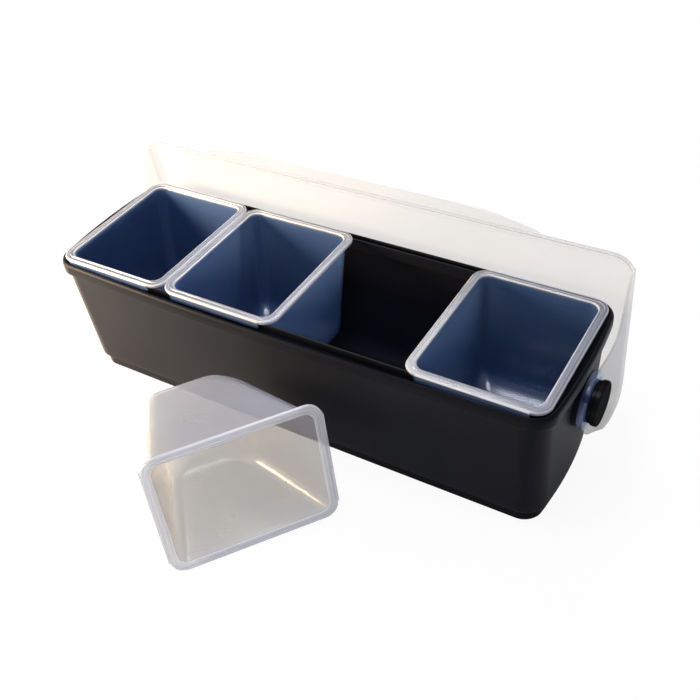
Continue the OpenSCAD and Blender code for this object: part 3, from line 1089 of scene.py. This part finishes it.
def lid_ear(form, side):
    """A side plate with its hub."""
    top = form.low + BORDER_LIP - EAR_STEP
    rear = form.back - EAR_STEP
    outline = [(x - LID_FRONT, top - y) for x, y in EAR_FRONT_STEPS]
    outline += [(-EAR_FRONT - x, top - y) for x, y in EAR_ARM_STEPS]
    outline += [(x * HUB_RADIUS, y * HUB_RADIUS) for x, y in EAR_HUB_SHARES]
    outline += [(rear - x, top - y) for x, y in EAR_REAR_STEPS]
    outer = form.half - EAR_STEP
    inner = form.half - form.wall + EAR_STEP
    bm = bmesh.new()
    slab(bm, soften(outline, EAR_CORNER, EAR_STEPS), inner, outer, PLATE_EDGE, "x")
    if side < 0:
        bmesh.ops.scale(bm, vec=(-1, 1, 1), verts=bm.verts)
    plate = finish_mesh(bm, "lid_ear")
    bm = bmesh.new()
    face = form.half + HUB_PROUD
    back = face - HUB_THICKNESS
    profile = [
        (back, TURN_RADIUS + 0.4),
        (back, HUB_GLOW),
        (back, HUB_RADIUS - 0.8),
        (back + 0.25, HUB_RADIUS - 0.25),
        (back + 0.8, HUB_RADIUS),
        (face - 0.8, HUB_RADIUS),
        (face - 0.25, HUB_RADIUS - 0.25),
        (face, HUB_RADIUS - 0.8),
        (face, HUB_GLOW),
        (face, TURN_RADIUS + 0.4),
        (face - 0.4, TURN_RADIUS),
        (back + 0.4, TURN_RADIUS),
    ]
    lathe(bm, [(side * along, radius) for along, radius in profile], HUB_STEPS)
    hub = finish_mesh(bm, "lid_hub")
    return plate, hub


class CADDY_OT_lid(bpy.types.Operator):
    """Builds the flip-back lid with its sloped border, finger lip, ears and hubs"""

    bl_idname = "caddy.lid"
    bl_label = "Lid"

    def execute(self, context):
        sizes, colours = context.scene.caddy_sizes, context.scene.caddy_colours
        # polypropylene, moulded and frosted: a pale, even veil over what is behind
        frosted = natural_plastic(
            "polypropylene_frosted_lid",
            colours.lid_milk,
            linear("#fdfcfa"),
            haze=0.12,
            edge_haze=0.5,
            rough=0.3,
            forward=0.4,
        )
        # the same plastic in the thick hubs: over the black bosses it scatters blue
        hub = natural_plastic(
            "polypropylene_thick_hub",
            linear("#4f7ff0"),
            linear("#9db8f0"),
            haze=0.45,
            edge_haze=0.6,
            rough=0.25,
            forward=0.3,
        )
        # and round them, against the boss, where hardly any light reaches it
        shade = natural_plastic(
            "polypropylene_shaded_hub_edge",
            linear("#5a78c8"),
            linear("#dfe6f6"),
            haze=0.1,
            edge_haze=0.3,
            rough=0.25,
            forward=0.3,
        )
        form = LidForm(sizes)
        bits = [lid_cap(form), lid_grip(form), *lid_ear(form, -1), *lid_ear(form, 1)]
        mesh = joined(bits, "lid_shell")
        mesh.materials.clear()
        for plastic in (frosted, hub, shade):
            mesh.materials.append(plastic)
        for face in mesh.polygons:
            x, y, z = [c / MM for c in face.center]
            out = math.hypot(y, z)
            if out < HUB_RADIUS + HUB_MARGIN and abs(x) > form.half - HUB_ZONE:
                face.material_index = HUB if out < HUB_GLOW else HUB_SHADE
            else:
                face.material_index = CLEAR
        mesh.transform(form.place)
        piece("lid_shell", mesh, "lid", ["lid"], [])
        return {"FINISHED"}


# ---------- hinge hardware ----------

KNOB_INNER, KNOB_OUTER, KNOB_RADIUS = 246.0, 254.0, 18.5
KNOB_NECK, KNOB_GROOVE, STUD_RADIUS, STUD_HEAD = 3.0, 1.2, 3.0, 251.5
KNOB_WAIST, KNOB_STEP = KNOB_RADIUS - KNOB_GROOVE, KNOB_INNER + KNOB_NECK
# out from the tray's middle, and radius: the stud's pocket, neck, grip and dished face
KNOB_PROFILE = (
    (STUD_HEAD, 0),
    (STUD_HEAD, STUD_RADIUS),
    (KNOB_INNER + 0.3, STUD_RADIUS),
    (KNOB_INNER, STUD_RADIUS + 0.3),
    (KNOB_INNER, KNOB_WAIST - 0.5),
    (KNOB_INNER + 0.4, KNOB_WAIST),
    (KNOB_STEP - 0.3, KNOB_WAIST),
    (KNOB_STEP, KNOB_WAIST + 0.3),
    (KNOB_STEP, KNOB_RADIUS - 0.5),
    (KNOB_STEP + 0.5, KNOB_RADIUS),
    (KNOB_OUTER - 1.2, KNOB_RADIUS),
    (KNOB_OUTER - 0.5, KNOB_RADIUS - 0.2),
    (KNOB_OUTER - 0.12, KNOB_RADIUS - 0.7),
    (KNOB_OUTER, KNOB_RADIUS - 1.5),
    (KNOB_OUTER - 0.5, KNOB_RADIUS - 6),
    (KNOB_OUTER - 0.7, 6),
    (KNOB_OUTER - 0.7, 0),
)


class CADDY_OT_knobs(bpy.types.Operator):
    """Builds the two side knobs and finishes the studs and nuts behind them"""

    bl_idname = "caddy.knobs"
    bl_label = "Knobs"

    def execute(self, context):
        colours = context.scene.caddy_colours
        # ABS, moulded and smooth: blacker than the tray, with a tighter gleam
        black = moulded_black(
            "abs_black_knob",
            colours.knob_black,
            rough=0.3,
            gloss=(0.01, 0.03),
            grain_mm=0.9,
            grain_depth=0.04,
        )
        # steel and brass, both turned: fine rings, a dulled gleam
        steel = turned_metal("steel_turned_stud", linear("#c2c4c8"), rough=0.32)
        brass = turned_metal("brass_turned_nut", linear("#b8953f"), rough=0.35)
        for side, word in ((-1, "left"), (1, "right")):
            bm = bmesh.new()
            lathe(bm, [(side * along, radius) for along, radius in KNOB_PROFILE])
            mesh = finish_mesh(bm, f"knob_{word}_cap")
            mesh.transform(Matrix.Translation(PIVOT))
            piece(
                f"knob_{word}_cap",
                mesh,
                f"knob_{word}",
                [f"knob_{word}"],
                [black],
            )
            for node, metal in ((f"stud_{word}", steel), (f"boss_nut_{word}", brass)):
                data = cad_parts[node].data
                data.materials.clear()
                data.materials.append(metal)
        return {"FINISHED"}


# ---------- stage ----------

FLOOR_HALF, FLOOR_DROP = 6, 0.0002
PAPER_SHARE, PAPER_GLOW = 0.9, 1.03  # the rest of the floor shows its shadows
MIRROR_SHARE = 0.12  # of the white backdrop, seen in a gloss
ROOM_LIGHT = 0.28
# name, place, target, size, spread in degrees, power in watts and tint:
# a broad soft key high behind, a warm beam low at the left end, and a cool fill above
LAMPS = (
    ("key", (-0.5, 0.8, 1.25), (-0.05, 0, 0.05), 0.8, 180, 13.0, "#fffaf2"),
    ("low", (-0.6, -0.46, 0.22), (-0.3, -0.06, 0.06), 0.36, 75, 5.4, "#ffe2b8"),
    ("over", (0.02, -0.15, 1.0), (-0.1, 0, 0.1), 0.4, 180, 3.8, "#e4ebff"),
)
# the camera's lens and sensor in millimetres, its place in metres, and its axes
LENS, SENSOR, NEAR, FAR = 47.08, 36.0, 0.01, 50
CAMERA_AT = (0.373357, -0.505275, 0.593564)
CAMERA_RIGHT = (0.85897477, 0.50586038, -0.07916825)
CAMERA_DOWN = (0.28372163, -0.59896577, -0.74882711)
CAMERA_AHEAD = (-0.42622104, 0.62076186, -0.65802002)


def aim(o, target):
    """Points a lamp at a place."""
    o.rotation_euler = (Vector(target) - o.location).to_track_quat("-Z", "Y").to_euler()


class CADDY_OT_stage(bpy.types.Operator):
    """Sets the white floor, the studio light and the camera"""

    bl_idname = "caddy.stage"
    bl_label = "Stage"

    @staticmethod
    def seen_rays(tree):
        """One for rays to the eye or refracted, and a little for mirrored ones."""
        path = add_node(tree, "ShaderNodeLightPath")
        faint = add_node(
            tree,
            "ShaderNodeMath",
            {0: path.outputs["Is Glossy Ray"], 1: MIRROR_SHARE},
            operation="MULTIPLY",
        )
        share = path.outputs["Is Camera Ray"]
        for other in (path.outputs["Is Transmission Ray"], faint.outputs["Value"]):
            both = add_node(
                tree, "ShaderNodeMath", {0: share, 1: other}, operation="MAXIMUM"
            )
            share = both.outputs["Value"]
        return share

    def execute(self, context):
        scene = context.scene
        bm = bmesh.new()
        bmesh.ops.create_grid(bm, x_segments=1, y_segments=1, size=FLOOR_HALF)
        mesh = bpy.data.meshes.new("floor")
        bm.to_mesh(mesh)
        bm.free()
        floor = bpy.data.objects.new("floor", mesh)
        floor.location = (0, 0, -FLOOR_DROP)
        scene.collection.objects.link(floor)
        material, tree = new_material("paper_white_matte")
        sheet = add_node(
            tree,
            "ShaderNodeBsdfDiffuse",
            {"Color": (*linear("#fbfbfb"), 1), "Roughness": 1.0},
        )
        paper = add_node(
            tree, "ShaderNodeEmission", {"Color": (1, 1, 1, 1), "Strength": PAPER_GLOW}
        )
        seen = add_node(
            tree,
            "ShaderNodeMath",
            {0: self.seen_rays(tree), 1: PAPER_SHARE},
            operation="MULTIPLY",
        )
        surface = mixed(
            tree,
            seen.outputs["Value"],
            sheet.outputs["BSDF"],
            paper.outputs["Emission"],
        )
        add_node(tree, "ShaderNodeOutputMaterial", {"Surface": surface})
        mesh.materials.append(material)

        world = bpy.data.worlds.new("studio")
        world.use_nodes = True
        tree = world.node_tree
        tree.nodes.clear()
        light = add_node(
            tree,
            "ShaderNodeBackground",
            {"Color": (*linear("#f4f6fa"), 1), "Strength": ROOM_LIGHT},
        )
        white = add_node(
            tree, "ShaderNodeBackground", {"Color": (1, 1, 1, 1), "Strength": 1.0}
        )
        surface = mixed(
            tree,
            self.seen_rays(tree),
            light.outputs["Background"],
            white.outputs["Background"],
        )
        add_node(tree, "ShaderNodeOutputWorld", {"Surface": surface})
        scene.world = world

        for name, at, target, size, beam, power, tint in LAMPS:
            lamp = bpy.data.lights.new(name, "AREA")
            lamp.shape = "DISK"
            lamp.size = size
            lamp.spread = math.radians(beam)
            lamp.energy = power
            lamp.color = linear(tint)
            o = bpy.data.objects.new(name, lamp)
            o.location = at
            aim(o, target)
            scene.collection.objects.link(o)

        camera = bpy.data.cameras.new("camera")
        camera.sensor_width = SENSOR
        camera.lens = LENS
        camera.clip_start, camera.clip_end = NEAR, FAR
        o = bpy.data.objects.new("camera", camera)
        right, up = Vector(CAMERA_RIGHT), -Vector(CAMERA_DOWN)
        back = -Vector(CAMERA_AHEAD)
        turn = Matrix((right, up, back)).transposed().to_4x4()
        o.matrix_world = Matrix.Translation(CAMERA_AT) @ turn
        scene.collection.objects.link(o)
        scene.camera = o
        scene.view_settings.view_transform = "Standard"
        return {"FINISHED"}


class CADDY_PT_panel(bpy.types.Panel):
    """Lists the caddy's pieces, sizes and colours"""

    bl_idname = "CADDY_PT_panel"
    bl_label = "Condiment caddy"
    bl_space_type = "VIEW_3D"
    bl_region_type = "UI"
    bl_category = "Caddy"

    def draw(self, context):
        layout = self.layout
        for group in (context.scene.caddy_sizes, context.scene.caddy_colours):
            box = layout.box()
            for key in group.__annotations__:
                box.prop(group, key)
        for operator in OPERATORS:
            layout.operator(operator.bl_idname)


OPERATORS = (
    CADDY_OT_tray,
    CADDY_OT_inserts,
    CADDY_OT_lid,
    CADDY_OT_knobs,
    CADDY_OT_stage,
)
CLASSES = (CaddySizes, CaddyColours, *OPERATORS, CADDY_PT_panel)


def register():
    for c in CLASSES:
        bpy.utils.register_class(c)
    bpy.types.Scene.caddy_sizes = bpy.props.PointerProperty(type=CaddySizes)
    bpy.types.Scene.caddy_colours = bpy.props.PointerProperty(type=CaddyColours)


def unregister():
    del bpy.types.Scene.caddy_colours
    del bpy.types.Scene.caddy_sizes
    for c in reversed(CLASSES):
        bpy.utils.unregister_class(c)


def main():
    register()
    bpy.ops.caddy.tray()
    bpy.ops.caddy.inserts()
    bpy.ops.caddy.lid()
    bpy.ops.caddy.knobs()
    bpy.ops.caddy.stage()


if __name__ == "__main__":
    main()
